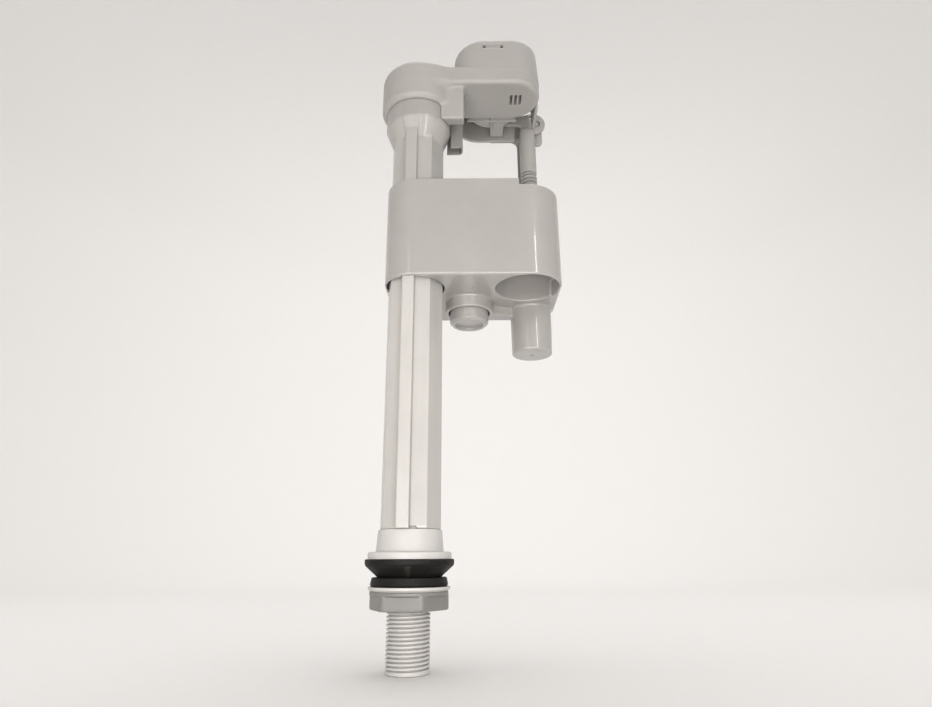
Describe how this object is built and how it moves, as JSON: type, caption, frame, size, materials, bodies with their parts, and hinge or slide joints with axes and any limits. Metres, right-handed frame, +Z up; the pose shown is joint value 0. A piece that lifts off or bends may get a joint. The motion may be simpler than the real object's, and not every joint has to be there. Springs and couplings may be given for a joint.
{
  "type": "float valve",
  "caption": "Bottom-entry cistern float valve: threaded tail with nut and rubber seals, ribbed riser column, hooded servo valve, and a delay cup with an inner float on a screw rod.",
  "frame": {"origin": "centre of the lower end of the threaded tail", "axes": "+Z up along the riser column, +X from the column towards the valve chamber, +Y towards the back"},
  "size_m": [0.1054, 0.0734, 0.357],
  "materials": {
    "body_plastic": "satin moulded polypropylene",
    "head_plastic": "satin moulded plastic, a little darker",
    "tail_plastic": "satin moulded nylon, near white",
    "nut_plastic": "satin",
    "grey_plastic": "satin mid grey",
    "clear_white": "satin white",
    "filter_mesh": "fine moulded mesh",
    "black_rubber": "matt black",
    "pin_steel": "brushed"
  },
  "bodies": {
    "valve": {"tail_shank": "tail_plastic", "flat_washer": "black_rubber", "cone_washer": "black_rubber", "inlet_filter": "filter_mesh", "flow_restrictor": "grey_plastic", "riser_tube": "clear_white", "riser_seal_lower": "black_rubber", "riser_seal_upper": "black_rubber", "column_sleeve": "body_plastic", "head_body": "head_plastic", "valve_seat": "clear_white", "bonnet": "head_plastic", "hood": "head_plastic", "outlet_spout": "grey_plastic", "lever_pin": "pin_steel", "delay_cup": "body_plastic", "cup_hanger": "grey_plastic"},
    "slip_ring": {"slip_washer": "tail_plastic"},
    "nut": {"back_nut": "nut_plastic"},
    "membrane": {"diaphragm": "black_rubber"},
    "lever": {"float_lever": "head_plastic", "pilot_seal": "black_rubber"},
    "rod": {"rod_clevis": "head_plastic"},
    "screw": {"adjusting_screw": "head_plastic"},
    "float": {"float_shell": "clear_white", "float_nut": "clear_white"},
    "drain": {"drain_plug": "body_plastic", "drain_seal": "black_rubber"}
  },
  "joints": [
    {"name": "float_rise", "type": "slide", "parent": "valve", "child": "rod", "axis": [0, 0, 1], "range_m": [0, 0.003]},
    {"name": "lever_swing", "type": "hinge", "parent": "valve", "child": "lever", "pos_m": [0.05, 0.0345, 0.334], "axis": [0, -1, 0], "range_deg": [0, 6.5]},
    {"name": "diaphragm_lift", "type": "slide", "parent": "valve", "child": "membrane", "axis": [0, 0, 1], "range_m": [0, 0.0012]},
    {"name": "level_adjust", "type": "slide", "parent": "rod", "child": "float", "axis": [0, 0, 1], "range_m": [-0.004, 0.004]},
    {"name": "screw_spin", "type": "hinge", "parent": "rod", "child": "screw", "pos_m": [0.0705, 0.0345, 0.25], "axis": [0, 0, 1], "range_deg": [-540, 540]},
    {"name": "drain_drop", "type": "slide", "parent": "valve", "child": "drain", "axis": [0, 0, 1], "range_m": [0, 0.0038]},
    {"name": "nut_travel", "type": "slide", "parent": "valve", "child": "slip_ring", "axis": [0, 0, 1], "range_m": [-0.01814, 0]},
    {"name": "nut_spin", "type": "hinge", "parent": "slip_ring", "child": "nut", "pos_m": [0, 0, 0.031], "axis": [0, 0, 1], "range_deg": [-3601, 0]}
  ],
  "couplings": [
    {"joint": "lever_swing", "follows": "float_rise", "rad_per_m": 36.63},
    {"joint": "screw_spin", "follows": "level_adjust", "rad_per_m": 2327.1},
    {"joint": "nut_spin", "follows": "nut_travel", "rad_per_m": 3463.7}
  ]
}
